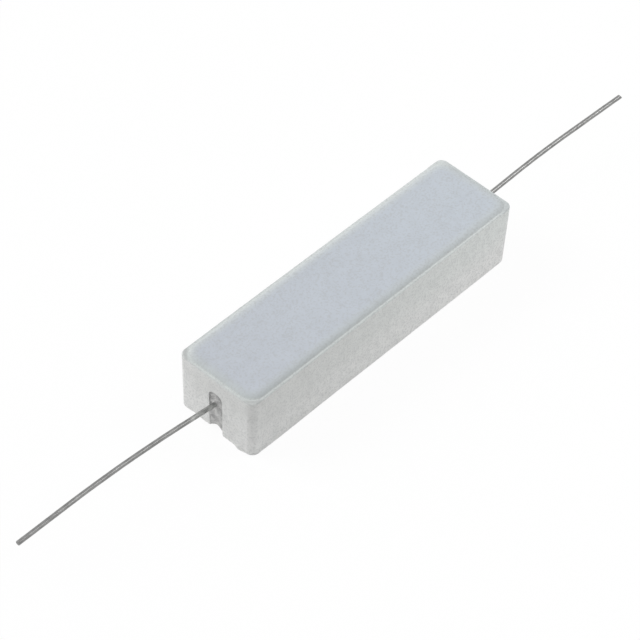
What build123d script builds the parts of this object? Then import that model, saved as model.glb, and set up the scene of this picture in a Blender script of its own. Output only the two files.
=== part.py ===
"""Cement power resistor with axial leads, built the way the real one is made.

A ceramic rod wound with resistance ribbon sits between two pressed steel caps. A
tinned copper lead is welded to each cap. The element lies in a dry-pressed ceramic
trough, and cement poured in through the open side locks it there.

Millimetres. X runs along the leads and +Z is up. The origin is in the plane of the
trough's rim, midway between its ends: the resistor stands on the rim, with the cement
side down and the closed, crowned face up.
"""

import os
from math import radians, sqrt, tan

from build123d import *

# Ceramic case: outside
case_length = 48.0  # over the land, the flat ledge round the crown
case_width = 12.5
land_height = 9.7  # rim to land
end_draft = 1.6  # degrees that each end face leans in towards the rim
side_draft = 0.3
corner_radius = 1.1  # upright outer corners
land_edge_bevel = 0.15
rim_radius = 0.3  # outer edge of the rim
crown_rise = 0.35  # crown above land
shoulder_radius = 1.15  # curve by which the crown drops to the land
land_width = 0.35
crown_corner_radius = 2.1  # corners of the crown's block, seen from above

# Ceramic case: inside
side_wall = 1.7  # thickness at the rim
end_wall = 1.9
roof = 1.95  # crown to ceiling
cavity_draft = 1.5  # degrees
cavity_corner_radius = 1.3
ceiling_bevel = 0.7
rim_inner_bevel = 0.3

# Lead slot in each end wall, open at the rim
slot_width = 2.1
arch_over_lead = 2.15  # lead axis to the top of the arch
mouth_radius = 0.45  # where the slot runs out into the rim

# The short leg of the front end, left of the slot
short_leg = 0.45  # missing height at the end face
short_leg_run = 9.0  # length over which the rim comes back to full height

# Cement filling
fill_depth = 1.1  # rim to the cement's surface
meniscus_radius = 0.4  # where the cement climbs the walls
meniscus_edge = 0.15  # thickness at the top of the climb
slot_recess = 0.4  # end face to the cement in the slot
cover = 0.6  # cement between the caps and the ceiling
cap_to_wall = 2.4  # cement between each cap and the end wall

# Wound element
core_diameter = 4.2
cap_wall = 0.3
cap_base = 0.4
cap_depth = 5.0  # overall length of a cap
cap_base_bevel = 0.35  # coined edge round the cap's base
ribbon_width = 1.0
ribbon_thickness = 0.2
turns = 8

# Leads
lead_diameter = 0.65
weld_radius = 0.75  # foot of the weld on the cap
weld_length = 0.5
front_free_length = 30.9  # end face to tip, along X
rear_free_length = 30.2
bow_start = 1.5  # end face to the first bend, inside the case
bow_run = 15.5  # from the first bend to the second, along X
first_bend_radius = 12.0
second_bend_radius = 200.0
front_bow = 1.42  # sideways shift of the front lead
front_tip_turn = 0.0  # degrees that its last run leans back to the axis
rear_bow = 0.35
rear_tip_turn = 1.9
front_cut_angle = 6.0  # degrees off square, at the tip
rear_cut_angle = 32.0

beyond = 1.0  # how far a cutting form runs past what it cuts

ceiling_height = land_height + crown_rise - roof
cap_radius = core_diameter / 2 + cap_wall
lead_height = ceiling_height - cover - cap_radius
arch_top = lead_height + arch_over_lead
end_x = case_length / 2 - (land_height - lead_height) * tan(radians(end_draft))


def drafted_block(low, high, foot, head, radius):
    """A block between two heights, with drafted flat sides and rounded upright corners.

    foot and head are its length and width at the two heights.
    """
    inset_x = (foot[0] - head[0]) / 2
    inset_y = (foot[1] - head[1]) / 2
    far_x = foot[0] - inset_x
    far_y = foot[1] - inset_y
    wedge = Wedge(foot[0], high - low, foot[1], inset_x, inset_y, far_x, far_y)
    block = Pos(0, 0, (low + high) / 2) * Rot(90, 0, 0) * wedge
    upright = [edge for edge in block.edges() if edge.bounding_box().size.Z > (high - low) / 2]
    return fillet(upright, radius)


def top_edges(form):
    """Edges round the highest face of a form."""
    return form.faces().sort_by(Axis.Z)[-1].edges()


def outer_size(z):
    """Length and width of the case at height z, smaller towards the rim by the drafts."""
    drop = land_height - z
    length = case_length - 2 * drop * tan(radians(end_draft))
    width = case_width - 2 * drop * tan(radians(side_draft))
    return length, width


def cavity_taper(z):
    """How far each wall of the cavity has come in at height z, from its place at the rim."""
    return z * tan(radians(cavity_draft))


def cavity_size(z, inset=0.0):
    """Length and width of the cavity at height z: it opens out towards the rim."""
    rim_length, rim_width = outer_size(0)
    inwards = 2 * (cavity_taper(z) + inset)
    return rim_length - 2 * end_wall - inwards, rim_width - 2 * side_wall - inwards


def trough_form(low, high, inset=0.0):
    """Solid of the cavity's shape between two heights."""
    radius = cavity_corner_radius - cavity_taper(low) - inset
    plan = Plane.XY.offset(low) * RectangleRounded(*cavity_size(low, inset), radius)
    return extrude(plan, high - low, taper=cavity_draft)


def cavity_form(low):
    """The cavity from a height up to the ceiling, whose edges are bevelled."""
    form = trough_form(low, ceiling_height)
    return chamfer(top_edges(form), ceiling_bevel)


def end_block(side, width, low, high, inner_x):
    """A box across one end of the case, from inner_x out past the end face."""
    outer_x = case_length / 2 + beyond
    block = Box(outer_x - inner_x, width, high - low)
    return Pos(side * (outer_x + inner_x) / 2, 0, (high + low) / 2) * block


def slot_form(side):
    """The slot's void at one end: an arch on straight sides that flare at the rim."""
    half = slot_width / 2
    inner_x = cavity_size(0)[0] / 2 - beyond
    legs_top = arch_top - half
    sketch = Pos(0, legs_top) * Circle(half)
    sketch += Pos(0, (legs_top - beyond) / 2) * Rectangle(slot_width, legs_top + beyond)
    flare = Pos(0, (mouth_radius - beyond) / 2) * Rectangle(
        slot_width + 2 * mouth_radius, mouth_radius + beyond
    )
    for edge in (-1, 1):
        flare -= Pos(edge * (half + mouth_radius), mouth_radius) * Circle(mouth_radius)
    sketch += flare
    run = case_length / 2 + beyond - inner_x
    start = inner_x if side > 0 else -inner_x - run
    return extrude(Plane.YZ.offset(start) * sketch, run)


def short_leg_form():
    """Wedge under the front end's left leg, which was pressed short."""
    front = -case_length / 2
    slope = short_leg / short_leg_run
    outline = Polyline(
        (front - beyond, -beyond),
        (front - beyond, short_leg + slope * beyond),
        (front + short_leg_run, 0),
        (front + short_leg_run, -beyond),
        close=True,
    )
    wedge = extrude(Plane.XZ * make_face(outline), -(case_width / 2 + beyond))
    return wedge


def rim_edges(body, outer):
    """The rim's outer or inner edges, without those of the slots and of the wedge's crease."""
    half_length, half_width = [size / 2 for size in outer_size(0)]
    over_rim = short_leg + rim_radius / 2
    beside_slot = 0.51 * slot_width
    chosen = []
    for edge in body.edges():
        middle = edge @ 0.5
        low = edge.bounding_box().max.Z < over_rim
        in_slot = abs(middle.Y) < beside_slot
        inwards = min(half_length - abs(middle.X), half_width - abs(middle.Y))
        on_side = inwards < side_wall / 3 if outer else inwards > side_wall * 2 / 3
        if low and on_side and not in_slot:
            chosen.append(edge)
    return chosen


def crown_form():
    """The crown: a block whose rounded top edge meets the land part of the way down."""
    drop_run = sqrt(2 * shoulder_radius * crown_rise - crown_rise**2)
    inset = land_width + drop_run - shoulder_radius
    low = land_height + crown_rise - shoulder_radius - beyond
    high = land_height + crown_rise
    size = (case_length - 2 * inset, case_width - 2 * inset)
    block = drafted_block(low, high, size, size, crown_corner_radius)
    return fillet(top_edges(block), shoulder_radius)


def ceramic_case():
    """The pressed trough, rim down."""
    body = drafted_block(0, land_height, outer_size(0), outer_size(land_height), corner_radius)
    body = chamfer(top_edges(body), land_edge_bevel)
    body += crown_form()
    inner_x = cavity_size(0)[0] / 2 - beyond
    for side in (-1, 1):
        body -= end_block(side, slot_width, -beyond, arch_top - slot_width / 2, inner_x)
    body -= cavity_form(-beyond)
    body -= short_leg_form()
    body = fillet(rim_edges(body, outer=True), rim_radius)
    body = chamfer(rim_edges(body, outer=False), rim_inner_bevel)
    for side in (-1, 1):
        body -= slot_form(side)
    return body


def element_half_length():
    """Centre to the outer face of a cap."""
    return cavity_size(lead_height)[0] / 2 - cap_to_wall


def element_envelope():
    """Solid of the whole element, that the cement is poured round."""
    half = element_half_length()
    wound = Cylinder(core_diameter / 2 + ribbon_thickness, 2 * half - 2 * cap_depth)
    form = Pos(0, 0, lead_height) * Rot(0, 90, 0) * wound
    for side in (-1, 1):
        form += cap_blank(side)
    return form


def cap_blank(side):
    """Outside of a cap as a solid, with the edge of its base bevelled."""
    blank = Cylinder(cap_radius, cap_depth)
    blank = chamfer(top_edges(blank), cap_base_bevel)
    centre = side * (element_half_length() - cap_depth / 2)
    return Pos(centre, 0, lead_height) * Rot(0, 90 * side, 0) * blank


def end_cap(side):
    """Drawn steel cup pressed on the rod."""
    bore_depth = cap_depth - cap_base
    bore = Cylinder(core_diameter / 2, bore_depth)
    centre = side * (element_half_length() - cap_base - bore_depth / 2)
    return cap_blank(side) - Pos(centre, 0, lead_height) * Rot(0, 90, 0) * bore


def core_rod():
    """Ceramic rod, bottomed in both caps."""
    rod = Cylinder(core_diameter / 2, 2 * (element_half_length() - cap_base))
    return Pos(0, 0, lead_height) * Rot(0, 90, 0) * rod


def ribbon_helices(turn):
    """The four edges of one turn of the ribbon, each a helix."""
    inner = core_diameter / 2
    outer = inner + ribbon_thickness
    corners = [(inner, 0), (inner, ribbon_width), (outer, ribbon_width), (outer, 0)]
    wound_length = 2 * (element_half_length() - cap_depth)
    pitch = (wound_length - ribbon_width) / turns
    first = Pos(-wound_length / 2, 0, lead_height) * Rot(0, 90, 0)
    return [
        first * Pos(0, 0, turn * pitch + shift) * Helix(pitch, pitch, radius)
        for radius, shift in corners
    ]


def resistance_winding():
    """Flat ribbon wound on the rod, its ends welded to the caps' rims.

    Ruled faces join the four helices of each turn, and a flat face closes each end.
    """
    faces = []
    for turn in range(turns):
        helices = ribbon_helices(turn)
        faces += [Face.make_surface_from_curves(helices[i - 1], helices[i]) for i in range(4)]
    for turn, end in ((0, 0), (turns - 1, 1)):
        faces.append(Face(Wire.make_polygon([helix @ end for helix in ribbon_helices(turn)])))
    return Solid(Shell(faces))


def lead_route(side, free_length, bow, tip_turn):
    """A lead's centre line: straight out of the cap, a jog to one side, then straight."""
    start_x = element_half_length()
    first_x = end_x - bow_start
    second_x = first_x + bow_run
    tip_x = case_length / 2 + free_length
    tip_y = bow - (tip_x - second_x) * tan(radians(tip_turn))
    corners = [(start_x, 0), (first_x, 0), (second_x, bow), (tip_x, tip_y)]
    points = [(side * x, y, lead_height) for x, y in corners]
    return FilletPolyline(*points, radius=[first_bend_radius, second_bend_radius])


def tip_cutter(route, cut_angle):
    """Block that shears the tip at an angle to the wire."""
    size = 4 * lead_diameter
    cut = Plane(route @ 1, x_dir=(0, 0, 1), z_dir=route % 1)
    return cut * Rot(0, cut_angle, 0) * Pos(0, 0, size / 2) * Box(size, size, size)


def lead(side, free_length, bow, tip_turn, cut_angle):
    """Tinned copper wire with its weld collar at the cap."""
    route = lead_route(side, free_length, bow, tip_turn)
    section = Plane(route @ 0, z_dir=route % 0) * Circle(lead_diameter / 2)
    wire = sweep(section, route)
    wire -= tip_cutter(route, cut_angle)
    weld = Cone(weld_radius, lead_diameter / 2, weld_length)
    weld_x = side * (element_half_length() + weld_length / 2)
    return wire + Pos(weld_x, 0, lead_height) * Rot(0, 90 * side, 0) * weld


def cement_filling(leads):
    """Everything that the cement fills, down to its surface a little inside the rim."""
    form = cavity_form(fill_depth - meniscus_radius)
    wet_block = Pos(0, 0, (fill_depth - meniscus_radius + land_height) / 2) * Box(
        2 * (end_x - slot_recess), case_width, land_height - fill_depth + meniscus_radius
    )
    for side in (-1, 1):
        form += slot_form(side) & wet_block
    surface = trough_form(-beyond, fill_depth, meniscus_edge)
    form -= fillet(top_edges(surface), meniscus_radius)
    inner_x = cavity_size(0)[0] / 2 - 2 * meniscus_radius
    for side in (-1, 1):
        channel = end_block(side, slot_width - 2 * meniscus_edge, -beyond, fill_depth, inner_x)
        form -= fillet(top_edges(channel).filter_by(Axis.X), meniscus_radius)
    form -= element_envelope()
    for wire in leads:
        form -= wire
    return form


def main():
    """Builds every piece and writes one file for each."""
    lead_front = lead(-1, front_free_length, front_bow, front_tip_turn, front_cut_angle)
    lead_rear = lead(1, rear_free_length, rear_bow, rear_tip_turn, rear_cut_angle)
    pieces = {
        "ceramic_case": ceramic_case(),
        "cement_filling": cement_filling([lead_front, lead_rear]),
        "core_rod": core_rod(),
        "resistance_winding": resistance_winding(),
        "end_cap_front": end_cap(-1),
        "end_cap_rear": end_cap(1),
        "lead_front": lead_front,
        "lead_rear": lead_rear,
    }
    os.makedirs("parts", exist_ok=True)
    for name, piece in pieces.items():
        export_step(piece, f"parts/{name}.step")
        print(name, "volume", round(piece.volume, 3), "mm3")


main()
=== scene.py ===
# %% [markdown]
# # A cement power resistor, dressed in Blender
# The CAD model gives every piece at its real size, and this file gives the pieces that
# show their finish. The ceramic case, the cement and the two leads get new surfaces with
# softened edges and fine relief. The wound element stays sealed inside, so its solids
# only get materials.

import bmesh
import bpy
import numpy as np
from mathutils import Matrix, Vector


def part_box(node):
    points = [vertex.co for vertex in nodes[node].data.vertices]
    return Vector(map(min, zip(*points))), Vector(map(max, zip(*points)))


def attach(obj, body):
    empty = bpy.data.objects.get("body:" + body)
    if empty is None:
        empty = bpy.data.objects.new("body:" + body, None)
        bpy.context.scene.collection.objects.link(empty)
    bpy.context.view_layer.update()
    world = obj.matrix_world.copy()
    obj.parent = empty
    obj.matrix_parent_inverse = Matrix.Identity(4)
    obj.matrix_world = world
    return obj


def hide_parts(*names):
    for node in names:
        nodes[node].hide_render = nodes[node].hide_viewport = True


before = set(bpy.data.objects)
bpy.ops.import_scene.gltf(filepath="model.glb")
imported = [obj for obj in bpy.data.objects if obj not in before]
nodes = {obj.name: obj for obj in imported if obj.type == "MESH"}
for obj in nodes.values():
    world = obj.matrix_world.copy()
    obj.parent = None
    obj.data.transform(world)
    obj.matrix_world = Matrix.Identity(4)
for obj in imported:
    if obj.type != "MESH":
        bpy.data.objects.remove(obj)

scene = bpy.context.scene
MM = 0.001  # sizes below are in millimetres, and meshes are in metres
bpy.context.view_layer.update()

# %% [markdown]
# The case is named by the sizes that a press tool would be cut to: length, width, drafts,
# radii, the crown, the walls and the slot. They repeat the CAD model's. The crown's height,
# the leads' height and the place of the caps are read from the frame, whose origin lies in
# the plane of the rim. The front end faces -X, and left is +Y.

# %% Sizes of the case
crown_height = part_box("ceramic_case")[1][2] / MM
crown_rise = 0.35
land_height = crown_height - crown_rise
land_length = 48.0
land_width = 12.5
half_length = land_length / 2
half_width = land_width / 2
land_edge = 0.2  # softened edge of the land
end_slope = np.tan(np.radians(1.6))  # drafts, as inward run for each millimetre down
side_slope = np.tan(np.radians(0.3))
cavity_slope = np.tan(np.radians(1.5))
corner_radius = 1.1
rim_radius = 0.25
shoulder_radius = 1.15
ledge = 0.35
crown_corner = 2.1
side_wall = 1.7
end_wall = 1.9
cavity_corner = 1.3
rim_inner_bevel = 0.3
ceiling_height = crown_height - 1.95
ceiling_bevel = 0.7
print("case, mm:", land_length, "x", land_width, "x", round(float(crown_height), 3))

# %% Sizes of the leads and the element
lead_radius = 0.325
lead_height = (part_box("core_rod")[0][2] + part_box("core_rod")[1][2]) / 2 / MM
weld_radius = 0.75
weld_length = 0.5
cap_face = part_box("end_cap_rear")[1][0] / MM
cap_radius = 2.4
cap_bevel = 0.35
cap_depth = 5.0
winding_radius = 2.3
print("leads at, mm:", round(lead_height, 3), "caps from the middle:", round(cap_face, 3))

# %% Sizes of the slot and the cement
slot_half = 1.05
arch_top = lead_height + 1.92
arch_rise = 0.95
arch_power = 2.8  # 2 would be a half round, more is flatter
legs_top = arch_top - arch_rise
mouth_radius = 0.45
slot_edge = 0.06  # softened edge between the end face and the slot
fill_depth = 1.1
meniscus = 0.4
meniscus_edge = 0.15
slot_recess = 0.4
print("slot, mm:", 2 * slot_half, "wide, arch top at", round(arch_top, 3))

# %% [markdown]
# Three small tools carry the rest. A grid of points becomes a patch of quads, several
# patches are welded into one closed mesh, and value noise gives relief that comes out the
# same on every run.


# %% Grids and meshes
def grid_quads(rows, columns, start=0, around=False):
    """Quads of a grid: corners (r, c), (r, c+1), (r+1, c+1), (r+1, c).

    Around joins the last column to the first.
    """
    last = columns if around else columns - 1
    r, c = np.meshgrid(np.arange(rows - 1), np.arange(last), indexing="ij")
    after = (c + 1) % columns
    quads = [r * columns + c, r * columns + after, (r + 1) * columns + after, (r + 1) * columns + c]
    return start + np.stack(quads, axis=-1).reshape(-1, 4)


def open_edges(mesh):
    """How many edges don't have exactly two faces: 0 for a closed surface."""
    edges = np.zeros(len(mesh.loops), np.int32)
    mesh.loops.foreach_get("edge_index", edges)
    return int(np.count_nonzero(np.bincount(edges, minlength=len(mesh.edges)) != 2))


def welded_mesh(name, patches, around=False):
    """One closed mesh from grids of points in millimetres.

    Points that patches share are merged, and the normals are turned outwards.
    """
    points = np.concatenate([patch.reshape(-1, 3) for patch in patches])
    starts = np.cumsum([0] + [patch.shape[0] * patch.shape[1] for patch in patches])
    quads = [
        grid_quads(patch.shape[0], patch.shape[1], start, around)
        for patch, start in zip(patches, starts)
    ]
    mesh = bpy.data.meshes.new(name)
    mesh.from_pydata((points * MM).tolist(), [], np.concatenate(quads).tolist())
    shape = bmesh.new()
    shape.from_mesh(mesh)
    bmesh.ops.remove_doubles(shape, verts=shape.verts, dist=0.002 * MM)
    bmesh.ops.dissolve_degenerate(shape, edges=shape.edges, dist=0.0005 * MM)
    bmesh.ops.recalc_face_normals(shape, faces=shape.faces)
    shape.to_mesh(mesh)
    shape.free()
    print(name, "has", len(mesh.polygons), "faces, and open edges:", open_edges(mesh))
    return mesh


# %% Noise
def lattice_value(cell, seed):
    """A fixed random number from 0 to 1 for each point of a cubic lattice."""
    mixed = cell[..., 0] * 374761393 + cell[..., 1] * 668265263 + cell[..., 2] * 1440662683
    mixed = (mixed + seed * 974634777) & 0x7FFFFFFF
    mixed = ((mixed ^ (mixed >> 13)) * 1274126177) & 0x7FFFFFFF
    return ((mixed ^ (mixed >> 16)) & 0xFFFF) / 65535.0


def noise(points, size, seed):
    """Smooth noise from 0 to 1.

    Random values lie at lattice points that size apart, and are blended by smoothstep.
    """
    scaled = points / np.array(size, float)
    cell = np.floor(scaled).astype(np.int64)
    part = scaled - cell
    part = part * part * (3 - 2 * part)
    total = np.zeros(points.shape[:-1])
    for corner in np.ndindex(2, 2, 2):
        weight = np.where(corner, part, 1 - part).prod(axis=-1)
        total += weight * lattice_value(cell + np.array(corner), seed)
    return total


def smoothstep(value, low, high):
    """0 below low, 1 above high, and 3t^2 - 2t^3 between them."""
    part = np.clip((value - low) / (high - low), 0, 1)
    return part * part * (3 - 2 * part)


print("noise at two points:", noise(np.array([[0.1, 0, 0], [1.5, 2, 3]]), 1.0, 1).round(3))


# %% Vertices in and out
def read(items, field):
    """A field of a mesh's vertices or normals, as rows of three numbers."""
    flat = np.zeros(len(items) * 3, np.float32)
    items.foreach_get(field, flat)
    return flat.reshape(-1, 3).astype(float)


def set_vertices(mesh, points):
    """Puts points, in millimetres, into the mesh."""
    mesh.vertices.foreach_set("co", (points * MM).astype(np.float32).ravel())
    mesh.update()


def finished_piece(name, mesh, nodes, crease_angle):
    """An object in the row frame that rides on the part's one body and stands for CAD nodes."""
    mesh.polygons.foreach_set("use_smooth", [True] * len(mesh.polygons))
    mesh.set_sharp_from_angle(angle=np.radians(crease_angle))
    piece = bpy.data.objects.new(name, mesh)
    scene.collection.objects.link(piece)
    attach(piece, "root")
    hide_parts(*nodes)
    size = read(mesh.vertices, "co") / MM
    print(name, "spans, mm:", size.min(0).round(3), size.max(0).round(3))
    return piece


# %% [markdown]
# ## The ceramic case
# The real case is dry-pressed: powder is squeezed in a steel die, pushed out and fired.
# The die leaves a crowned face inside a narrow ledge, drafted walls and an uneven rim,
# where the powder was filled. It could be cut from a box with booleans, but then its
# edges would need repair. Here it is a profile carried round a rounded rectangle: each row
# of the grid is one height of the profile, and each column one place on the outline. The
# columns next to a slot start at the slot's edge, so the arch needs no cutting.


# %% Outlines of the case by height
def outer_plan(z):
    """Half length, half width and corner radius of the outside at height z.

    Below the land they shrink by the drafts, and at the rim by its rounding.
    """
    below = np.clip(rim_radius - z, 0, rim_radius)
    rounding = rim_radius - np.sqrt(rim_radius**2 - below**2)
    length = half_length - (land_height - z) * end_slope - rounding
    width = half_width - (land_height - z) * side_slope - rounding
    return length, width, corner_radius - rounding


def cavity_plan(z):
    """The same for the cavity, with a bevel at the rim and one at the ceiling."""
    flare = np.clip(rim_inner_bevel - z, 0, None)
    bevel = np.clip(z - (ceiling_height - ceiling_bevel), 0, None)
    inward = z * cavity_slope - flare + bevel
    length = half_length - land_height * end_slope - end_wall - inward
    width = half_width - land_height * side_slope - side_wall - inward
    return length, width, cavity_corner - z * cavity_slope + flare


print("cavity at the rim, mm:", np.round(cavity_plan(0.0), 3))


# %% Outline of the slot
def arch_outline(turn):
    """Across and up on the arch, a superellipse, which is worn flatter than a half round."""
    y = slot_half * np.cos(turn) ** (2 / arch_power)
    z = legs_top + arch_rise * np.sin(turn) ** (2 / arch_power)
    return y, z


def slot_side(z):
    """Half width of the slot at height z, and the way from its void into the wall: across, up.

    Beside the legs the way is straight across, except in the mouth's quarter round. In
    the arch it is the slope of the superellipse.
    """
    in_arch = np.clip((z - legs_top) / arch_rise, 0, 1)
    in_mouth = np.clip(mouth_radius - z, 0, mouth_radius)
    arch_run = (1 - in_arch**arch_power) ** (1 / arch_power)
    mouth_run = mouth_radius - np.sqrt(mouth_radius**2 - in_mouth**2)
    half = slot_half * arch_run + mouth_run
    arch_across = arch_run ** (arch_power - 1) / slot_half
    arch_up = in_arch ** (arch_power - 1) / arch_rise
    steep = np.hypot(arch_across, arch_up)
    across = np.where(z > legs_top, arch_across / steep, 1 - mouth_run / mouth_radius)
    up = np.where(z > legs_top, arch_up / steep, in_mouth / mouth_radius)
    return half, across, up


print("slot half width at the rim, mm:", round(float(slot_side(np.array(0.0))[0]), 3))

# %% [markdown]
# The heights of the wall's rows are shared by the outside, the inside and the slot's
# sides, so that the three meet point for point. Round the arch, rows are spaced by angle
# at the slot's edge and evenly on the rest of the wall.

# %% Heights of the rows
rounding_angles = np.linspace(0, np.pi / 2, 8)
arch_angles = np.linspace(0, np.pi / 2, 15)[1:]
rounding_heights = rim_radius * (1 - np.cos(rounding_angles))
leg_heights = np.linspace(rim_radius, legs_top, 24)[1:]
even_heights = np.linspace(legs_top, arch_top, 15)[1:]
edge_heights = np.concatenate([rounding_heights, leg_heights, arch_outline(arch_angles)[1]])
body_heights = np.concatenate([rounding_heights, leg_heights, even_heights])
above_arch = np.linspace(arch_top + 2 * slot_edge, land_height - land_edge, 8)
rim_steps = 5
print("rows beside the slot:", len(edge_heights), "and above it:", len(above_arch))


# %% Rows of the crown
def row_table(length, width, radius, body, edge=None, slot=0.0, kind=0):
    """The rows' numbers, side by side.

    They are half length, half width, corner radius, height, height at the slot's edge,
    half width of the slot, and kind: 1 beside the slot outside, 2 inside, 0 elsewhere.
    """
    edge = body if edge is None else edge
    parts = np.broadcast_arrays(length, width, radius, body, edge, slot, kind)
    return np.stack(parts, axis=-1)


def crown_rows():
    """From the crown's middle line out, over its shoulder, and round the ledge's edge.

    The shoulder is an arc of its radius that ends once it has fallen by the crown's rise.
    """
    run = np.sqrt(2 * shoulder_radius * crown_rise - crown_rise**2)
    flat_width = half_width - ledge - run
    flat_length = half_length - ledge - run
    flat_corner = crown_corner - shoulder_radius
    share = np.linspace(0, 1, 17)
    inwards = flat_width * (1 - share)
    face = row_table(flat_length - inwards, flat_width - inwards, flat_corner * share, crown_height)
    turn = np.linspace(0, np.arccos(1 - crown_rise / shoulder_radius), 9)[1:]
    out = shoulder_radius * np.sin(turn)
    down = shoulder_radius * (1 - np.cos(turn))
    height = crown_height - down
    shoulder = row_table(flat_length + out, flat_width + out, flat_corner + out, height)
    bend = np.linspace(0, np.pi / 2, 5)[:-1]
    length, width, radius = outer_plan(land_height - land_edge)
    back = land_edge * (1 - np.sin(bend))
    drop = land_edge * (1 - np.cos(bend))
    edge = row_table(length - back, width - back, radius - back, land_height - drop)
    return np.concatenate([face, shoulder, edge])


print("rows in the crown:", len(crown_rows()))


# %% Rows of the walls, the rim and the ceiling
def wall_rows(plan, kind):
    """The wall beside the slot, from the rim up to the arch's top, outside or inside."""
    slot = slot_side(edge_heights)[0]
    return row_table(*plan(body_heights), body_heights, edge_heights, slot, kind)


def case_rows():
    """All rows in order, from the crown's middle line round the rim to the ceiling's."""
    upper = row_table(*outer_plan(above_arch), above_arch)[::-1]
    outside = wall_rows(outer_plan, 1)[::-1]
    inside = wall_rows(cavity_plan, 2)
    share = np.linspace(0, 1, rim_steps + 1)[1:-1, None]
    rim = outside[-1] * (1 - share) + inside[0] * share
    rim[:, -1] = 0
    high = np.array([arch_top + 0.3, ceiling_height])
    top = row_table(*cavity_plan(high), high)
    length, width, radius = cavity_plan(ceiling_height)
    shrink = np.linspace(1, 0, 5)[1:]
    length = length - width * (1 - shrink)
    ceiling = row_table(length, width * shrink, radius * shrink, ceiling_height)
    return np.concatenate([crown_rows(), upper, outside, rim, inside, top, ceiling])


rows = case_rows()
print("rows in the case's profile:", len(rows))


# %% Columns round the case
def end_columns(table, count):
    """Points of the front end face, from the slot's edge or the middle out to the corner.

    Heights at the slot's edge fade to the wall's own by (1 - share)^2.
    """
    length, width, radius, body, edge, slot, kind = [table[:, i : i + 1] for i in range(7)]
    _, across, up = slot_side(edge)
    soft = slot_edge * smoothstep(edge, 0, rim_radius) * (kind == 1)
    first_y = np.where(kind > 0, slot + soft * across, slot)
    first_z = edge + soft * up
    share = np.linspace(0, 1, count + 1)[None, :] ** 1.25
    y = first_y + (width - radius - first_y) * share
    z = body + (first_z - body) * (1 - share) ** 2
    x = np.where(kind == 1, outer_plan(z)[0], np.where(kind == 2, cavity_plan(z)[0], length))
    return np.stack([-x, y, z + 0 * x], axis=-1)


def corner_columns(table, count):
    """Points round the front corner, without its first."""
    length, width, radius, body = [table[:, i : i + 1] for i in range(4)]
    turn = np.linspace(0, np.pi / 2, count + 1)[None, 1:]
    x = -(length - radius) - radius * np.cos(turn)
    y = width - radius + radius * np.sin(turn)
    return np.stack([x, y, body + 0 * x], axis=-1)


def side_columns(table, count):
    """Points along the long side, without its ends."""
    length, width, radius, body = [table[:, i : i + 1] for i in range(4)]
    share = np.linspace(-1, 1, count + 1)[None, 1:-1]
    x = (length - radius) * share
    return np.stack([x, width + 0 * x, body + 0 * x], axis=-1)


def mirrored(points, x=1, y=1):
    """The same points mirrored in x or y."""
    return points * np.array([x, y, 1])


front_left = end_columns(rows, 24)
print("points on half of the front end:", front_left.shape[0] * front_left.shape[1])


# %% Sides of the slots
def slot_side_points():
    """The left side of the front slot: its softened edge, then straight through the wall.

    The edge is a quarter circle from the end face to the side, about a centre that lies
    one edge radius inside both.
    """
    half, across, up = [value[:, None, None] for value in slot_side(edge_heights)]
    z = edge_heights[:, None, None]
    below = np.clip(rim_radius - z, 0, rim_radius) / rim_radius
    soft = slot_edge * smoothstep(z, 0, rim_radius)
    zero = 0 * z
    face_normal = np.concatenate([-np.sqrt(1 - below**2), zero, -below], axis=-1)
    side_normal = np.concatenate([zero, across, up], axis=-1)
    first_z = z + soft * up
    first = np.concatenate([-outer_plan(first_z)[0], half + soft * across, first_z], axis=-1)
    centre = first - soft * face_normal
    turn = np.linspace(0, np.pi / 2, 5)[None, :, None]
    edge = centre + soft * (face_normal * np.cos(turn) - side_normal * np.sin(turn))
    last = np.concatenate([-cavity_plan(z)[0], half, z], axis=-1)
    share = np.linspace(0, 1, rim_steps + 1)[None, 1:, None]
    through = edge[:, -1:] * (1 - share) + last * share
    return np.concatenate([edge, through], axis=1)


def case_patches():
    """Two halves of the shell and four sides of slots."""
    front = np.concatenate([front_left, corner_columns(rows, 10)], axis=1)
    half = np.concatenate([front, side_columns(rows, 190), mirrored(front, x=-1)[:, ::-1]], axis=1)
    slot = slot_side_points()
    shells = [half, mirrored(half, y=-1)]
    return shells + [mirrored(slot, x, y) for x in (1, -1) for y in (1, -1)]


case_mesh = welded_mesh("case_body", case_patches())

# %% [markdown]
# Pressing and firing leave the case slightly uneven. The walls sink by a few hundredths of
# a millimetre here and there, and the rim waves where the die wasn't filled evenly. One leg
# of the front end is short, and the rear end is a little out of square. The whole stays
# inside the box of the CAD model. A Displace modifier could do it with a texture for each
# mark, but here each mark is a formula of the place, and their sum is added to the points.

# %% Depths of the relief
swell_depth = 0.05
grain_depth = 0.012
short_leg = 0.45  # how much of the front's left leg is missing
short_run = 9.0  # and over what length of the rim
dip_depth = 0.18
dip_y = 3.6
flash_depth = 0.24
flash_y = -4.0
flash_height = 0.9
mark_half = 0.7  # half width of the dip and of the flash
wave_depth = 0.10
ripple_depth = 0.04
rear_skew = 0.28  # how far the rear end's left edge stands out
print("most that the rim rises, mm:", short_leg + dip_depth + wave_depth + ripple_depth)


# %% Relief of the case
def bell(value, middle, half):
    """A bell curve: 1 at the middle, and 1/e at half a width from it."""
    return np.exp(-(((value - middle) / half) ** 2))


def rim_lift(points):
    """How far the rim is raised: the short leg's slope, a shallow dip, and waves all round."""
    x, y, _ = points.T
    flat = points * [1, 1, 0]
    short = short_leg * np.clip(1 - (x + half_length) / short_run, 0, 1) * (y > 0)
    at_front = smoothstep(-x, half_length - 2.0, half_length - 0.8)
    dip = dip_depth * bell(y, dip_y, mark_half) * at_front
    waves = wave_depth * noise(flat, 1.7, 5) ** 2 + ripple_depth * noise(flat, 0.6, 6)
    return short + dip + waves * (0.3 + 0.7 * smoothstep(x, half_length - 4, half_length - 1))


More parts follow.
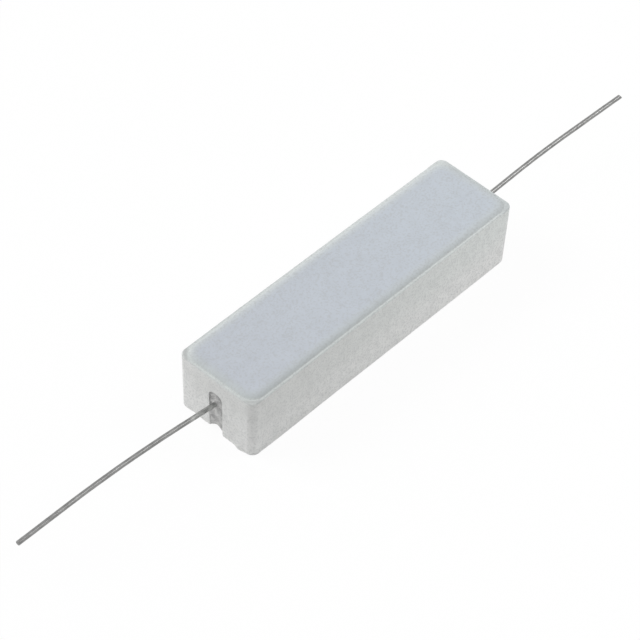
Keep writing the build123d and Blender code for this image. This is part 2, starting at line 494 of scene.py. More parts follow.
def case_relief(mesh):
    """Moves the outside in along its normals by the sum of two noises, and lifts the rim.

    At the front's right corner the foot keeps a small flash: it stands out by a bell
    curve of the height times one of the place across. The rear end came out of the kiln
    a little out of square: it stands out in proportion to the distance from its right side.
    """
    points = read(mesh.vertices, "co") / MM
    normals = read(mesh.vertex_normals, "vector")
    x, y, z = points.T
    length, width, _ = cavity_plan(np.clip(z, 0, ceiling_height))
    near = 0.05  # the cavity's own points count as inside
    inside = (np.abs(x) < length + near) & (np.abs(y) < width + near) & (z < ceiling_height + near)
    in_slot = (np.abs(y) < slot_half + 0.02) & (np.abs(x) < half_length - 0.6)
    shown = np.where(inside | in_slot, 0, 1) * smoothstep(np.abs(normals[:, 2]) + z, 0.0, 0.3)
    sunk = swell_depth * noise(points, (9, 5, 5), 11) + grain_depth * noise(points, 0.9, 12)
    at_front = smoothstep(-x, half_length - 1.4, half_length - 0.6)
    flash = flash_depth * bell(z, 0, flash_height) * bell(y, flash_y, mark_half) * at_front
    points -= normals * (sunk * shown)[:, None]
    points[:, 0] -= flash * shown
    lift = rim_lift(points) * np.clip(1 - z / 3.0, 0, 1) ** 2
    points[:, 2] += lift
    at_rear = smoothstep(points[:, 0], half_length - 2.1, half_length - 0.5)
    points[:, 0] += rear_skew * (points[:, 1] / land_width + 0.5) * at_rear
    set_vertices(mesh, points)
    print("rim lifted by up to, mm:", round(float(lift.max()), 3))


case_relief(case_mesh)
case = finished_piece("case", case_mesh, ["ceramic_case"], 35)

# %% [markdown]
# ## The leads
# Each lead is drawn copper wire, dipped in tin and welded to a cap. It leaves the case with
# a small jog to one side and ends where a shear cut it. A curve object with a round bevel
# would do, but its ends are hard to shape. Here a circle is carried along the route by its
# arc length: the radius and the end's slant are functions of how far along the wire a ring
# is.

# %% Routes of the leads
end_x = half_length - (land_height - lead_height) * end_slope
first_bend = end_x - 1.5
second_bend = first_bend + 15.5
bend_radii = (12.0, 200.0)
ring_spacing = 0.3


def route_corners(side, free_length, bow, tip_turn):
    """Corners of a lead's route: cap, first bend, second bend, tip.

    Bow is how far to the side the second bend lies, and tip turn the angle back from it.
    """
    tip = half_length + free_length
    tip_y = bow - (tip - second_bend) * np.tan(np.radians(tip_turn))
    corners = [(cap_face, 0), (first_bend, 0), (second_bend, bow), (tip, tip_y)]
    return np.array([(side * x, y, lead_height) for x, y in corners])


def rounded_route(corners):
    """Points along straight runs joined by arcs, with unit directions.

    An arc of radius R that turns by angle a starts R tan(a/2) before its corner.
    """
    runs = np.diff(corners, axis=0)
    ways = runs / np.linalg.norm(runs, axis=1)[:, None]
    points, last = [], corners[0]
    for i, radius in enumerate(bend_radii):
        turn = np.arccos(np.clip(ways[i] @ ways[i + 1], -1, 1))
        reach = radius * np.tan(turn / 2)
        start = corners[i + 1] - ways[i] * reach
        inward = ways[i + 1] - ways[i] * np.cos(turn)
        inward /= np.linalg.norm(inward)
        steps = max(int(np.linalg.norm(start - last) / ring_spacing), 2)
        points.append(last + (start - last) * np.linspace(0, 1, steps, endpoint=False)[:, None])
        steps = max(int(radius * turn / ring_spacing), 6)
        angles = np.linspace(0, turn, steps, endpoint=False)[:, None]
        points.append(start + radius * (np.sin(angles) * ways[i] + (1 - np.cos(angles)) * inward))
        last = corners[i + 1] + ways[i + 1] * reach
    steps = int(np.linalg.norm(corners[-1] - last) / ring_spacing)
    points.append(last + (corners[-1] - last) * np.linspace(0, 1, steps + 1)[:, None])
    points = np.concatenate(points)
    directions = np.gradient(points, axis=0)
    return points, directions / np.linalg.norm(directions, axis=1)[:, None]


front_route = route_corners(side=-1, free_length=30.9, bow=1.42, tip_turn=0.0)
rear_route = route_corners(side=1, free_length=30.2, bow=0.35, tip_turn=1.9)
print("front tip, mm:", front_route[-1].round(3), "rear tip:", rear_route[-1].round(3))


# %% Wire and its cut ends
def wire_rings(centres, ways, seed):
    """Rings of points along a wire: the weld's cone first, then the wire's radius less a noise."""
    steps = np.linalg.norm(np.diff(centres, axis=0), axis=1)
    along = np.concatenate([[0], np.cumsum(steps)])
    turn = np.linspace(0, 2 * np.pi, 41)[None, :-1]
    across = np.stack([-ways[:, 1], ways[:, 0], 0 * along], axis=-1)[:, None, :]
    up = np.array([0.0, 0.0, 1.0])
    spoke = np.cos(turn)[..., None] * across + np.sin(turn)[..., None] * up
    place = centres[:, None, :] + spoke * lead_radius
    dents = 0.014 * noise(place, (1.6, 0.35, 0.35), seed)
    dents += 0.006 * noise(place, (0.35, 0.2, 0.2), seed + 1)
    cone = weld_radius - (weld_radius - lead_radius) * along / weld_length
    cone = np.maximum(cone, lead_radius)[:, None]
    radius = np.where(along[:, None] < weld_length, cone, lead_radius - dents)
    return centres[:, None, :] + spoke * radius[..., None]


def cut_tip(ring, way, cut_angle):
    """Rings that close the tip, each a share of its edge. Drawing back the first rounds it.

    The upper half is cut back by its height times the tangent of the cut angle.
    """
    height = np.clip(ring[:, 2:] - lead_height, 0, None)
    edge = ring - way * height * np.tan(np.radians(cut_angle))
    middle = edge.mean(axis=0)
    shares = np.array([1.0, 0.97, 0.9, 0.6, 0.3, 0.0])[:, None, None]
    back = np.array([0.04, 0.01, 0.0, 0.0, 0.0, 0.0])[:, None, None]
    return middle + (edge - middle) * shares - way * back


def lead_mesh(name, route, cut_angle, seed):
    """A closed wire: the weld's flat foot, the rings and the cut tip."""
    centres, ways = rounded_route(route)
    wire = wire_rings(centres, ways, seed)
    foot = centres[0] + (wire[0] - centres[0]) * np.array([0.0, 0.5])[:, None, None]
    tip = cut_tip(wire[-1], ways[-1], cut_angle)
    return welded_mesh(name, [np.concatenate([foot, wire[:-1], tip])], around=True)


front_mesh = lead_mesh("wire_front", front_route, cut_angle=6.0, seed=21)
rear_mesh = lead_mesh("wire_rear", rear_route, cut_angle=32.0, seed=31)
lead_front = finished_piece("wire_front", front_mesh, ["lead_front"], 40)
lead_rear = finished_piece("wire_rear", rear_mesh, ["lead_rear"], 40)

# %% [markdown]
# ## The cement
# Wet cement is poured into the open trough over the element and runs out into the slots
# round the leads. It sets sandy and grey, climbs the walls a little and leaves small
# pores. Its outside is a loop of points carried from one end to the other: the loop is an
# arch in each slot and the trough's section between them. A tunnel inside it follows the
# wound element. Only the underside and the two faces in the slots are seen, so the
# points are dense there.


# %% Underside of the cement
def wall_distance(x, y):
    """How far a point of the underside is from the trough's walls or the slot's.

    Whichever leaves more room counts, because the slot opens the trough's end wall.
    """
    length, width, radius = cavity_plan(np.array(fill_depth))
    out_x = np.abs(x) - (length - radius)
    out_y = np.abs(y) - (width - radius)
    corner = np.hypot(np.clip(out_x, 0, None), np.clip(out_y, 0, None))
    in_trough = radius - corner - np.minimum(np.maximum(out_x, out_y), 0)
    in_slot = slot_half - np.abs(y)
    return np.maximum(in_trough, in_slot)


def underside(x, y):
    """Height of the cement's surface: its full depth, less a quarter circle up each wall."""
    away = np.clip(wall_distance(x, y) - meniscus_edge, 0, meniscus)
    climb = meniscus - np.sqrt(meniscus**2 - (meniscus - away) ** 2)
    return fill_depth - climb


middle_and_wall = underside(np.array([0.0, 0.0]), np.array([0.0, 4.4]))
print("cement stands back by, middle and wall, mm:", middle_and_wall.round(3))


# %% Points of a loop
channel_points = 9  # across half of the slot
shelf_points = 16  # on to the wall
wall_points = 8  # up the wall
roof_points = 8  # and back over the top
cement_low = fill_depth - meniscus
slot_face = end_x - slot_recess


def eased(count):
    """Shares from 0 to 1, closer together at both ends."""
    return (1 - np.cos(np.linspace(0, np.pi, count))) / 2


def whole_loop(half):
    """A closed loop from its left half, which runs from the middle below to the middle above."""
    return np.concatenate([half, mirrored(half, y=-1)[:, -2:0:-1]], axis=1)


channel = slot_half * eased(2 * channel_points - 1)[channel_points - 1 :] * 2 - slot_half
print("across half of the slot, mm:", channel.round(2))


# %% Loops in the trough
def trough_loops(stations):
    """Sections of the trough's filling, from the front end wall to the rear one.

    Each station has a share of the straight length, and a turn round the rounded corner
    that narrows the section by r (1 - cos) and moves it on by r sin.
    """
    turns = np.linspace(np.pi / 2, 0, 10)[:-1]
    straight = np.linspace(-1, 1, stations)
    share = np.concatenate([-1 + 0 * turns, straight, 1 + 0 * turns])[:, None]
    turn = np.concatenate([-turns, 0 * straight, turns[::-1]])[:, None]
    roof_height = ceiling_height - ceiling_bevel
    z_wall = np.linspace(cement_low, roof_height, wall_points + 1)[1:]
    low = np.full(channel_points + shelf_points, cement_low)
    plan_height = np.concatenate([low, z_wall, np.full(roof_points, ceiling_height)])
    length, width, radius = cavity_plan(plan_height)
    x = share * (length - radius) + radius * np.sin(turn)
    reach = width - radius * (1 - np.cos(turn))
    on_shelf, over_roof = eased(shelf_points + 1)[1:], np.linspace(1, 0, roof_points)
    over = np.concatenate([0 * channel, on_shelf, np.ones(wall_points), over_roof])
    beside = np.full(shelf_points + wall_points, slot_half)
    base = np.concatenate([channel, beside, 0 * over_roof])
    y = base + (reach - base) * over
    z = np.broadcast_to(plan_height, y.shape).copy()
    below = slice(0, channel_points + shelf_points)
    z[:, below] = underside(x[:, below], y[:, below])
    return whole_loop(np.stack([x, y, z], axis=-1))


print("points in a loop of the trough:", trough_loops(2).shape[1])


# %% Loops in the slots
def slot_loops(stations):
    """Sections of the filling of the front slot, from its face to the trough's end wall."""
    z_side = np.linspace(cement_low, legs_top, shelf_points + wall_points + 1)[1:]
    arch_y, arch_z = arch_outline(np.linspace(0, np.pi / 2, roof_points + 1)[1:])
    y = np.concatenate([channel, slot_half + 0 * z_side, arch_y])[None, :]
    z = np.concatenate([cement_low + 0 * channel, z_side, arch_z])[None, :]
    wall = cavity_plan(z)[0]
    x = -slot_face + (slot_face - wall) * np.linspace(0, 1, stations)[:, None]
    y = y + 0 * x
    z = z + 0 * x
    z[:, :channel_points] = underside(x[:, :channel_points], y[:, :channel_points])
    return whole_loop(np.stack([x, y, z], axis=-1))


def face_loops(outline, centre_y):
    """Loops from the lead's hole out to the face's outline, each point on its own spoke."""
    middle = np.array([0, centre_y, lead_height])
    spoke = outline - middle
    spoke[:, 0] = 0
    spoke /= np.linalg.norm(spoke, axis=1)[:, None]
    hole = middle + spoke * lead_radius
    hole[:, 0] = outline[:, 0]
    share = eased(14)[:, None, None]
    return hole + (outline - hole) * share


print("points in a loop of a slot:", slot_loops(2).shape[1])


# %% Tunnel round the element
def tunnel_loops(first, last, rear_y):
    """Loops between the two holes: circles whose radius follows lead, weld, cap and winding."""
    half = np.array([
        (slot_face, lead_radius),
        (cap_face + weld_length, lead_radius),
        (cap_face, weld_radius),
        (cap_face, cap_radius - cap_bevel),
        (cap_face - cap_bevel, cap_radius),
        (cap_face - cap_depth, cap_radius),
        (cap_face - cap_depth, winding_radius),
    ])
    x = np.concatenate([half[:, 0], -half[::-1, 0]])[1:-1]
    radius = np.concatenate([half[:, 1], half[::-1, 1]])[1:-1]
    spoke = (last - np.array([0, rear_y, lead_height])) / lead_radius
    loops = spoke[None] * radius[:, None, None] + np.array([0, 0, lead_height])
    loops[:, :, 0] = x[:, None]
    return np.concatenate([last[None], loops, first[None]])


def lead_y(route, x):
    """Where a lead is, sideways, at a given x."""
    points, _ = rounded_route(route)
    order = np.argsort(points[:, 0])
    return float(np.interp(x, points[order, 0], points[order, 1]))


def cement_grid():
    """All loops in one round: front face, slot, trough, slot, rear face and the tunnel back."""
    front_y = lead_y(front_route, -slot_face)
    rear_y = lead_y(rear_route, slot_face)
    slot = slot_loops(10)
    rear_slot = mirrored(slot, x=-1)[::-1]
    front = face_loops(slot[0], front_y)
    rear = face_loops(rear_slot[-1], rear_y)[::-1]
    tunnel = tunnel_loops(front[0], rear[-1], rear_y)
    return np.concatenate([front[:-1], slot, trough_loops(190), rear_slot, rear[1:], tunnel[1:]])


print("front lead leaves the cement at y, mm:", round(lead_y(front_route, -slot_face), 3))


# %% Relief of the cement's underside
pore_depth = 0.22
hollow_rise = 0.25
hollow_dip = 0.9


def underside_relief(points):
    """Up and down: sand and pores, and a hollow in each slot, where the cement sagged.

    The hollow is a parabola across the slot, less a dip that is deepest halfway to the side.
    """
    x, y, _ = points.T
    free = smoothstep(wall_distance(x, y), 0.0, 0.35)
    sand = 0.10 * noise(points, (2.2, 2.2, 9), 41) + 0.07 * noise(points, (0.5, 0.5, 9), 42)
    pores = pore_depth * smoothstep(noise(points, (0.8, 0.8, 9), 43), 0.84, 0.97)
    across = np.clip(np.abs(y) / slot_half, 0, 1)
    hollow = hollow_rise * (1 - across**2) - hollow_dip * across * (1 - across)
    hollow *= smoothstep(np.abs(x), slot_face - 1.6, slot_face - 1.0)
    return (sand + pores - 0.08) * free + hollow


# %% Relief of the cement's faces in the slots
face_forward = 0.22  # how far the face stands out before its noises sink it
collar_out = 0.2
collar_reach = 0.28
climb_out = 0.12


def face_relief(points):
    """Inwards in the slots: two noises, less a collar round the lead and a climb on the left.

    The collar fades by e for each collar reach from the wire.
    """
    _, y, z = points.T
    from_lead = np.hypot(y, z - lead_height)
    rough = 0.20 * noise(points, (9, 0.9, 0.9), 44) + 0.12 * noise(points, (9, 0.32, 0.32), 45)
    collar = collar_out * np.exp((lead_radius - from_lead) / collar_reach)
    climb = climb_out * smoothstep(y, 0.0, 1.0)
    return rough - face_forward - collar - climb


def cement_relief(mesh):
    """Moves the underside up or down and the faces in the slots in or out."""
    points = read(mesh.vertices, "co") / MM
    facing_down = read(mesh.vertex_normals, "vector")[:, 2] < -0.2
    below = (points[:, 2] < fill_depth + 0.01) & facing_down
    points[:, 2] += np.where(below, underside_relief(points), 0)
    face = np.abs(points[:, 0]) > slot_face - 0.001
    points[:, 0] -= np.where(face, np.sign(points[:, 0]) * face_relief(points), 0)
    set_vertices(mesh, points)
    print("points moved, below and in the slots:", np.count_nonzero(below), np.count_nonzero(face))


cement_mesh = welded_mesh("cement_body", [cement_grid()], around=True)
cement_relief(cement_mesh)
cement = finished_piece("cement", cement_mesh, ["cement_filling"], 60)

# %% [markdown]
# ## Finishes
# Each material starts from the real one and is built from nodes. Colours are written as
# sRGB hex and turned to linear once, and every pattern's scale is one over a real size, so
# it comes out the same on any piece. A finish is a list of layers: a tone, and the share
# with which it covers the tones below it.


# %% Colours
def linear(code):
    """A hex colour such as "#c0c0c0" as linear RGBA.

    A channel c becomes c/12.92 below 0.04045, and ((c + 0.055) / 1.055)^2.4 above it.
    """
    srgb = np.array([int(code[i : i + 2], 16) for i in (1, 3, 5)]) / 255
    value = np.where(srgb <= 0.04045, srgb / 12.92, ((srgb + 0.055) / 1.055) ** 2.4)
    return (*value.tolist(), 1.0)


print("mid grey in linear light:", round(linear("#808080")[0], 3))


# %% Nodes
def connect(tree, node, inputs):
    """Gives each named input a value, or links it to another node's output."""
    for name, value in inputs.items():
        if isinstance(value, bpy.types.NodeSocket):
            tree.links.new(value, node.inputs[name])
        else:
            node.inputs[name].default_value = linear(value) if isinstance(value, str) else value


def add(tree, kind, inputs=None, out=0, **settings):
    """Adds a shader node with its settings and links, and returns one output.

    It returns them all if out is None.
    """
    node = tree.nodes.new("ShaderNode" + kind)
    for name, value in settings.items():
        setattr(node, name, value)
    connect(tree, node, inputs or {})
    return node.outputs if out is None else node.outputs[out]


def layered(tree, colour, layers):
    """Lays tones over a colour, one after another.

    A layer is a tone and its share: a socket, or a smooth range given by its inputs.
    """
    for tone, share in layers:
        if isinstance(share, dict):
            share = add(tree, "MapRange", share, interpolation_type="SMOOTHSTEP")
        colour = add(tree, "Mix", {0: share, 6: colour, 7: tone}, out=2, data_type="RGBA")
    return colour


def outside_block(tree, where, half_size):
    """How far a point is outside a block about the origin, by axis and in all.

    By axis it is |p| less the block's half size, and 0 at least. In all it is the length.
    """
    apart = add(tree, "VectorMath", {0: where}, operation="ABSOLUTE")
    apart = add(tree, "VectorMath", {0: apart, 1: half_size}, operation="SUBTRACT")
    apart = add(tree, "VectorMath", {0: apart, 1: (0, 0, 0)}, operation="MAXIMUM")
    return apart, add(tree, "VectorMath", {0: apart}, out="Value", operation="LENGTH")


def new_material(name):
    """A material, its tree, and its coordinates in the part's frame, in millimetres."""
    made = bpy.data.materials.new(name)
    made.use_nodes = True
    tree = made.node_tree
    metres = add(tree, "TexCoord", out="Object")
    where = add(tree, "VectorMath", {0: metres, "Scale": 1 / MM}, operation="SCALE")
    return made, tree, where


def finish(made, colour, roughness, bumps, more):
    """Gives the material's shader its colour, roughness and bumps, and prints its name.

    A bump is a height, its strength and its depth in millimetres. Each lies over the one
    before it. More holds the shader's other values.
    """
    tree, normal = made.node_tree, {}
    for height, strength, depth in bumps:
        bump = {"Height": height, "Strength": strength, "Distance": depth * MM}
        normal = {"Normal": add(tree, "Bump", bump | normal)}
    inputs = {"Base Color": colour, "Roughness": roughness} | normal | more
    connect(tree, tree.nodes["Principled BSDF"], inputs)
    print(made.name, "has", len(tree.nodes), "nodes")
    return made


# %% [markdown]
# The case is a pressed and fired ceramic, without glaze: dull, pale grey and slightly rough
# to the finger. Its walls carry painted light: they are paler at the foot, as if lit by the
# white floor, and paler towards the rear end and on the left side. The die drags faint
# upright lines down the walls.


# %% Tone of the case's walls
def wall_tone(tree, place, rear_light_share, cloud, drag):
    """Grey in slow clouds, under die lines, with painted light: paler to the rear, foot and left.
    """
    most = add(tree, "MapRange", {"Value": rear_light_share, "To Min": 0.45, "To Max": 1.0})
    left = {"Value": place["Y"], "From Min": 1, "From Max": 5, "To Max": 0.35}
    # Painted light: paler towards the rear end, at the foot as if lit by the floor, and on the
    # left.
    layers = [
        ("#d4d5d3", cloud),
        ("#dde1df", rear_light_share),
        ("#ededec", {"Value": place["Z"], "From Min": 8, "From Max": 1, "To Max": most}),
        ("#e6e6e5", add(tree, "MapRange", left)),
        ("#bbbdbc", {"Value": drag, "From Min": 0.40, "From Max": 0.70, "To Max": 0.12}),
    ]
    return layered(tree, "#cccdcc", layers)


# %% [markdown]
# The middle of the crown is a little cooler and smoother than the band round it. The
# ledge's inner edge carries a painted highlight, most of all at the front.


# %% Tone of the crown
def crown_tone(tree, where, place, rear_light_share, cloud):
    """A cool middle, a band painted paler on the left, a painted highlight on the ledge's
    inner edge, and a darker ledge in the round corners.

    Outward is how far a point is from a block that lies one corner radius inside the
    crown's foot, so it is that radius all along the foot.
    """
    inner_length = half_length - ledge - crown_corner
    inner_width = half_width - ledge - crown_corner
    aside, outward = outside_block(tree, where, (inner_length, inner_width, crown_height))
    middle = layered(tree, "#b8bdc6", [("#bec6ce", rear_light_share), ("#bec4cc", cloud)])
    # The band is painted paler on the left, as painted light from that side.
    left = {"Value": place["Y"], "From Min": 3.4, "From Max": 5.6, "To Max": 0.5}
    left = add(tree, "MapRange", left)
    band = add(tree, "MapRange", {"Value": outward, "From Min": 0.7, "From Max": 2.0})
    outer = layered(tree, "#b6bcbd", [("#c2c8c9", rear_light_share), ("#dfe3e1", left)])
    # A painted highlight lies on the ledge's inner edge, most at the front; at the rear end it
    #     fades and the band runs on to the edge.
    toward_front = {"Value": place["X"], "To Min": 0.15}
    toward_front |= {"From Min": half_length - 0.8, "From Max": half_length - 3.3}
    toward_front = add(tree, "MapRange", toward_front, interpolation_type="SMOOTHSTEP")
    edge_highlight = {"Value": outward, "From Min": 1.95, "From Max": 2.2, "To Max": toward_front}
    edge = layered(tree, "#c7cccb", [("#d2d7d6", rear_light_share)])
    # Outside a round corner the ledge widens. There it takes a darker tone in place of the
    #     painted highlight, up to where it turns down, and a paler one where it turns.
    by_axis = add(tree, "SeparateXYZ", {"Vector": aside}, out=None)
    least = add(tree, "Math", {0: by_axis["X"], 1: by_axis["Y"]}, operation="MINIMUM")
    cornered = {"Value": least, "From Min": 0.5, "From Max": 1.3, "To Max": toward_front}
    cornered = add(tree, "MapRange", cornered, interpolation_type="SMOOTHSTEP")
    corner = {"Value": outward, "From Min": 2.2, "From Max": 2.5, "To Max": cornered}
    turned = {"Value": outward, "From Min": 2.6, "From Max": 3.0}
    flat = layered(tree, "#b5b8b7", [("#ced1d0", turned)])
    return layered(tree, middle, [(outer, band), (edge, edge_highlight), (flat, corner)])


# %% [markdown]
# Wall and crown meet a little below the land. Grains of the pressed powder show as dark
# specks on both, and the sides of the slots are painted darker, most near the arch, as
# painted shade in the slots.


# %% Pressed ceramic
def slot_shade_share(tree, where, height):
    """Painted shade on the case: only beside the slot's outline, and most near the arch."""
    _, beside = outside_block(tree, where, (land_length, 0, legs_top))
    most = {"Value": height, "From Min": 2, "From Max": 6, "To Min": 0.15, "To Max": 0.35}
    most = add(tree, "MapRange", most)
    near = {"From Min": slot_half + 0.1, "From Max": slot_half + 0.02}
    return add(tree, "MapRange", near | {"Value": beside, "To Max": most})


def pressed_ceramic():
    """Unglazed steatite: its tone follows the place on the case, and grains lie over all."""
    made, tree, where = new_material("pressed_steatite_unglazed")
    place = add(tree, "SeparateXYZ", {"Vector": where}, out=None)
    # Painted light: a share that grows from the front end to the rear, where the case is painted
    # paler.
    rear_light_share = {"Value": place["X"], "From Min": -half_length, "From Max": half_length}
    rear_light_share = add(tree, "MapRange", rear_light_share)
    upright = add(tree, "Mapping", {"Vector": where, "Scale": (1, 1, 0.12)})
    # Powder grains are about 0.05 mm, drawn five times as coarse so that they show. The
    # die's lines are about 0.1 mm apart, drawn three times as coarse.
    patterns = [(where, 7, 2), (where, 1.2, 4), (where, 0.26, 3), (upright, 0.3, 3)]
    cloud, mottle, powder, drag = [
        add(tree, "TexNoise", {"Vector": way, "Scale": 1 / size, "Detail": detail})
        for way, size, detail in patterns
    ]
    meeting = {"From Min": land_height - 0.28, "From Max": land_height - 0.08}
    meeting = meeting | {"Value": place["Z"]}
    on_crown = add(tree, "MapRange", meeting, interpolation_type="SMOOTHSTEP")
    most = add(tree, "MapRange", {"Value": on_crown, "To Min": 0.14, "To Max": 0.084})
    layers = [
        (crown_tone(tree, where, place, rear_light_share, cloud), on_crown),
        ("#a6a8a8", {"Value": mottle, "From Min": 0.38, "From Max": 0.68, "To Max": most}),
        ("#a9abab", {"Value": powder, "From Min": 0.46, "From Max": 0.66, "To Max": 0.38}),
        # Painted shade on the sides of the slots, darkest near the arch.
        ("#8b8b8b", slot_shade_share(tree, where, place["Z"])),
    ]
    colour = layered(tree, wall_tone(tree, place, rear_light_share, cloud, drag), layers)
    rough = {"Value": mottle, "From Min": 0.3, "From Max": 0.7, "To Min": 0.62, "To Max": 0.78}
    rough = add(tree, "MapRange", rough)
    return finish(made, colour, rough, [(powder, 0.5, 0.03), (drag, 0.12, 0.03)], {"IOR": 1.55})


ceramic = pressed_ceramic()

# %% [markdown]
# The cement is a silica paste that sets like mortar: grey, sandy and dull, with patches of
# paler and darker tone and open pores where air left it. Under the arch's right side it is
# painted darker, as painted shade.


# %% Potting cement
def arch_shade_share(tree, where):
    """Painted shade in a rim along the arch's right side.

    It starts 0.65 mm from the arch's middle, above the lead and right of the middle.
    """
    place = add(tree, "SeparateXYZ", {"Vector": where}, out=None)
    high = {"Value": place["Z"], "From Min": 5.2, "From Max": 5.8, "To Max": 0.45}
    high = add(tree, "MapRange", high)
    right = {"Value": place["Y"], "From Min": 0.5, "From Max": 0.0, "To Max": high}
    right = add(tree, "MapRange", right)
    across = add(tree, "VectorMath", {0: where, 1: (0, 1, 1)}, operation="MULTIPLY")
    away = {0: across, 1: (0, 0.26, legs_top - 0.42)}
    away = add(tree, "VectorMath", away, out="Value", operation="DISTANCE")
    rim = {"Value": away, "From Min": 0.65, "From Max": 0.9, "To Max": right}
    return add(tree, "MapRange", rim, interpolation_type="SMOOTHSTEP")


def potting_cement():
    """Set silica cement: dark and pale sand grains over slow patches."""
    made, tree, where = new_material("potting_cement_set_silica")
    patch = add(tree, "TexNoise", {"Vector": where, "Scale": 1 / 0.9, "Detail": 4.0})
    # Sand is about 0.1 mm, drawn twice as coarse.
    sand = {"Vector": where, "Scale": 1 / 0.2, "Detail": 3.0, "Roughness": 0.7}
    sand = add(tree, "TexNoise", sand)
    layers = [
        ("#c3c3c2", {"Value": patch, "From Min": 0.36, "From Max": 0.62}),
        ("#878787", {"Value": sand, "From Min": 0.50, "From Max": 0.66, "To Max": 0.6}),
        ("#cfcfcd", {"Value": sand, "From Min": 0.46, "From Max": 0.34, "To Max": 0.5}),
        # Painted shade under the arch's right side.
        ("#6a6a6a", arch_shade_share(tree, where)),
    ]
    colour = layered(tree, "#a3a3a3", layers)
    rough = {"Value": sand, "From Min": 0.3, "From Max": 0.7, "To Min": 0.75, "To Max": 0.95}
    rough = add(tree, "MapRange", rough)
    return finish(made, colour, rough, [(sand, 0.7, 0.08)], {"IOR": 1.5})


mortar = potting_cement()

# %% [markdown]
# The leads are copper wire drawn through a die and dipped in tin: a dull silver metal with
# long die lines. Next to the case a film of cement slurry dulls and darkens the metal, and
# its border is ragged.


# %% Tinned copper
def tinned_copper():
    """Tin on drawn wire, under a slurry film where the distance along the part is short."""
    made, tree, where = new_material("tinned_copper_drawn_wire")
    # Die lines are a few hundredths of a millimetre apart, drawn three times as coarse.
    long = add(tree, "Mapping", {"Vector": where, "Scale": (0.03, 1, 1)})
    die = add(tree, "TexNoise", {"Vector": long, "Scale": 1 / 0.12})
    patch = add(tree, "Mapping", {"Vector": where, "Scale": (0.5, 1, 1)})
    patch = add(tree, "TexNoise", {"Vector": patch, "Scale": 1 / 0.45, "Detail": 4.0})
    away = add(tree, "SeparateXYZ", {"Vector": where}, out="X")
    away = add(tree, "Math", {0: away}, operation="ABSOLUTE")
    ragged = add(tree, "Math", {0: patch, 1: 3, 2: away}, operation="MULTIPLY_ADD")
    film = {"Value": ragged, "From Min": half_length + 5.6, "From Max": half_length + 3.6}
    film = add(tree, "MapRange", film, interpolation_type="SMOOTHSTEP")
    worn = {"Value": patch, "From Min": 0.35, "From Max": 0.65}
    line = {"Value": die, "From Min": 0.45, "From Max": 0.70, "To Max": 0.4}
    slurry = layered(tree, "#b4b5b3", [("#8b8c8b", worn)])
    colour = layered(tree, "#959594", [("#838382", worn), ("#696968", line), (slurry, film)])
    dull = {"Value": patch, "From Min": 0.3, "From Max": 0.7, "To Min": 0.22, "To Max": 0.34}
    dull = add(tree, "MapRange", dull)
    rough = add(tree, "Math", {0: film, 1: 0.25, 2: dull}, operation="MULTIPLY_ADD")
    return finish(made, colour, rough, [(die, 0.3, 0.01), (patch, 0.25, 0.02)], {"Metallic": 1.0})


tin = tinned_copper()

# %% [markdown]
# The sealed element is never seen unless the part is cut open. Its rod is a fine extruded
# ceramic, its caps are drawn steel dipped in tin, and its ribbon is a nickel alloy rolled
# flat and dulled by the heat of welding. All three show fine lines along the way they were
# made, so one recipe serves: two tones, a direction, a spacing and a roughness.


# %% Materials of the sealed element
def lined_material(name, tones, stretch, spacing, roughness, metallic):
    """Two tones blended by fine lines that run where the pattern is stretched."""
    made, tree, where = new_material(name)
    lines = add(tree, "Mapping", {"Vector": where, "Scale": stretch})
    lines = add(tree, "TexNoise", {"Vector": lines, "Scale": 1 / spacing, "Detail": 3.0})
    share = add(tree, "MapRange", {"Value": lines, "From Min": 0.35, "From Max": 0.65})
    colour = layered(tree, tones[0], [(tones[1], share)])
    rough = {"Value": lines, "From Min": 0.3, "From Max": 0.7}
    rough |= {"To Min": roughness, "To Max": roughness + 0.15}
    rough = add(tree, "MapRange", rough)
    return finish(made, colour, rough, [(lines, 0.25, 0.01)], {"Metallic": metallic})


rod = ("core_ceramic_extruded", ("#e6e2d8", "#d8d3c8"), (0.03, 1, 1), 0.25, 0.45, 0.0)
cup = ("cap_steel_drawn_tinned", ("#b9b7b2", "#a3a19c"), (0.05, 1, 1), 0.15, 0.28, 1.0)
ribbon = ("resistance_alloy_rolled", ("#8f8984", "#79706a"), (1, 0.15, 0.15), 0.1, 0.35, 1.0)
core, steel, alloy = [lined_material(*recipe) for recipe in (rod, cup, ribbon)]


# %% Give every piece its material
def dress(objects, material):
    """Puts one material on each object, in place of what it had."""
    for thing in objects:
        thing.data.materials.clear()
        thing.data.materials.append(material)
        print(thing.name, "is", material.name)


dress([case, nodes["ceramic_case"]], ceramic)
dress([cement, nodes["cement_filling"]], mortar)
dress([lead_front, lead_rear, nodes["lead_front"], nodes["lead_rear"]], tin)
dress([nodes["core_rod"]], core)
dress([nodes["end_cap_front"], nodes["end_cap_rear"]], steel)
dress([nodes["resistance_winding"]], alloy)

# %% [markdown]
# ## Light, floor and camera
# A product table: a white floor, a pale even sky, and two soft lamps. The camera, and
# anything shiny, sees the floor and the sky as plain white, with a trace of the object's
# shadow on the floor. One lamp stands high at the front left. The other stands at the rear
# right, beyond the part, so its reflection runs along the wires as a bright line.


# %% Floor and sky
def plain_white_share(tree, most):
    """How much of plain white a ray sees: most from the camera, a gloss or a clear piece."""
    ray = add(tree, "LightPath", out=None)
    seen = ray["Is Camera Ray"]
    for kind in ("Is Glossy Ray", "Is Transmission Ray"):
        seen = add(tree, "Math", {0: seen, 1: ray[kind]}, operation="MAXIMUM")
    return add(tree, "Math", {0: seen, 1: most}, operation="MULTIPLY")


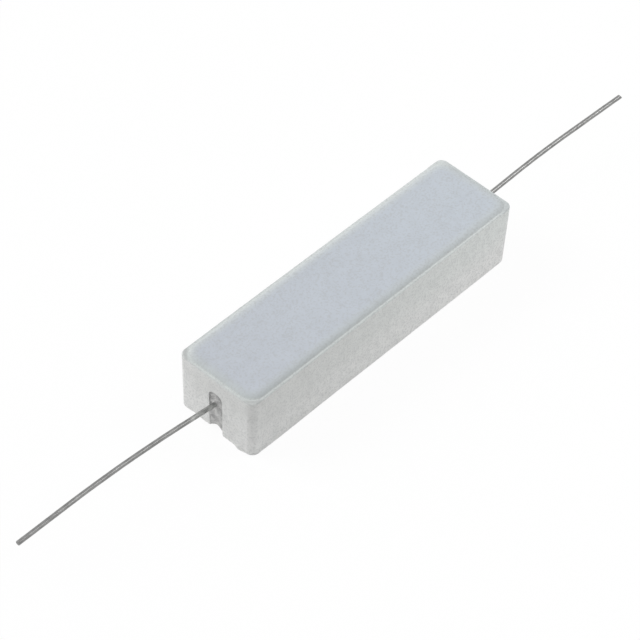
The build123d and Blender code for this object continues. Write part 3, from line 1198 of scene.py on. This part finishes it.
def studio_floor(half_size):
    """A square at the rim's height, white to the camera but for the object's shadow."""
    mesh = bpy.data.meshes.new("floor")
    corners = [(x * half_size, y * half_size, 0) for x, y in [(-1, -1), (1, -1), (1, 1), (-1, 1)]]
    mesh.from_pydata(corners, [], [(0, 1, 2, 3)])
    floor = bpy.data.objects.new("floor", mesh)
    scene.collection.objects.link(floor)
    made = bpy.data.materials.new("white_table")
    made.use_nodes = True
    tree = made.node_tree
    tree.nodes.clear()
    paint = add(tree, "BsdfDiffuse", {"Color": "#f9f9f9"})
    white = add(tree, "Emission", {"Color": "#ffffff", "Strength": 1.0})
    mixed = add(tree, "MixShader", {0: plain_white_share(tree, 0.94), 1: paint, 2: white})
    add(tree, "OutputMaterial", {"Surface": mixed}, out=None)
    mesh.materials.append(made)


def studio_sky(zenith, horizon):
    """A pale sky that falls from the zenith's strength to the horizon's, and looks white."""
    world = bpy.data.worlds.new("studio")
    world.use_nodes = True
    scene.world = world
    tree = world.node_tree
    tree.nodes.clear()
    way = add(tree, "TexCoord", out="Generated")
    upward = add(tree, "SeparateXYZ", {"Vector": way}, out="Z")
    strength = {"Value": upward, "From Max": 0.9, "To Min": horizon, "To Max": zenith}
    strength = add(tree, "MapRange", strength, interpolation_type="SMOOTHSTEP")
    sky = add(tree, "Background", {"Color": "#ffffff", "Strength": strength})
    white = add(tree, "Background", {"Color": "#ffffff", "Strength": 1.0})
    mixed = add(tree, "MixShader", {0: plain_white_share(tree, 1.0), 1: sky, 2: white})
    add(tree, "OutputWorld", {"Surface": mixed}, out=None)


studio_floor(half_size=2.0)
studio_sky(zenith=0.61, horizon=0.475)
print("floor and sky made")


# %% Lamps
def soft_lamp(name, direction, distance, size, power):
    """A square lamp in that direction from the object, facing it."""
    lamp = bpy.data.lights.new(name, "AREA")
    lamp.shape = "SQUARE"
    lamp.size = size
    lamp.energy = power
    holder = bpy.data.objects.new(name, lamp)
    way = Vector(direction).normalized()
    holder.location = way * distance
    holder.rotation_euler = way.to_track_quat("Z", "Y").to_euler()
    scene.collection.objects.link(holder)
    print(name, "gives", power, "W from", distance, "m")


soft_lamp("lamp_left", (-0.45, 0.65, 0.61), distance=0.8, size=0.5, power=3.35)
soft_lamp("lamp_right", (0.518, -0.447, 0.729), distance=0.28, size=0.1, power=0.172)


# %% Camera
def view_camera(azimuth, elevation, roll, distance, lens, shift_right, shift_up):
    """A long lens that looks down from the front right.

    The view is turned by its azimuth, elevation and roll, in degrees. The camera stands
    that far back from a point that is moved sideways and up across the view.
    """
    a, e, r = np.radians([azimuth, elevation, roll])
    back = np.array([-np.sin(a) * np.cos(e), -np.cos(a) * np.cos(e), np.sin(e)])
    right = np.cross(-back, [0, 0, 1])
    right /= np.linalg.norm(right)
    up = np.cross(right, -back)
    right, up = np.cos(r) * right + np.sin(r) * up, np.cos(r) * up - np.sin(r) * right
    aim = np.array([0, 0, land_height]) - right * shift_right - up * shift_up
    place = aim + back * distance
    camera = bpy.data.cameras.new("camera")
    camera.lens = lens
    camera.sensor_width = 36.0
    camera.clip_start = 0.01
    camera.clip_end = 20.0
    holder = bpy.data.objects.new("camera", camera)
    turned = Matrix(np.stack([right, up, back], axis=1).tolist()).to_4x4()
    holder.matrix_world = Matrix.Translation(Vector(place * MM)) @ turned
    scene.collection.objects.link(holder)
    scene.camera = holder
    print("camera at, mm:", place.round(2))


view_camera(
    azimuth=49.1675,
    elevation=46.8342,
    roll=2.7406,
    distance=340.353,
    lens=154.69,
    shift_right=3.7575,
    shift_up=5.2944,
)
scene.view_settings.view_transform = "Standard"
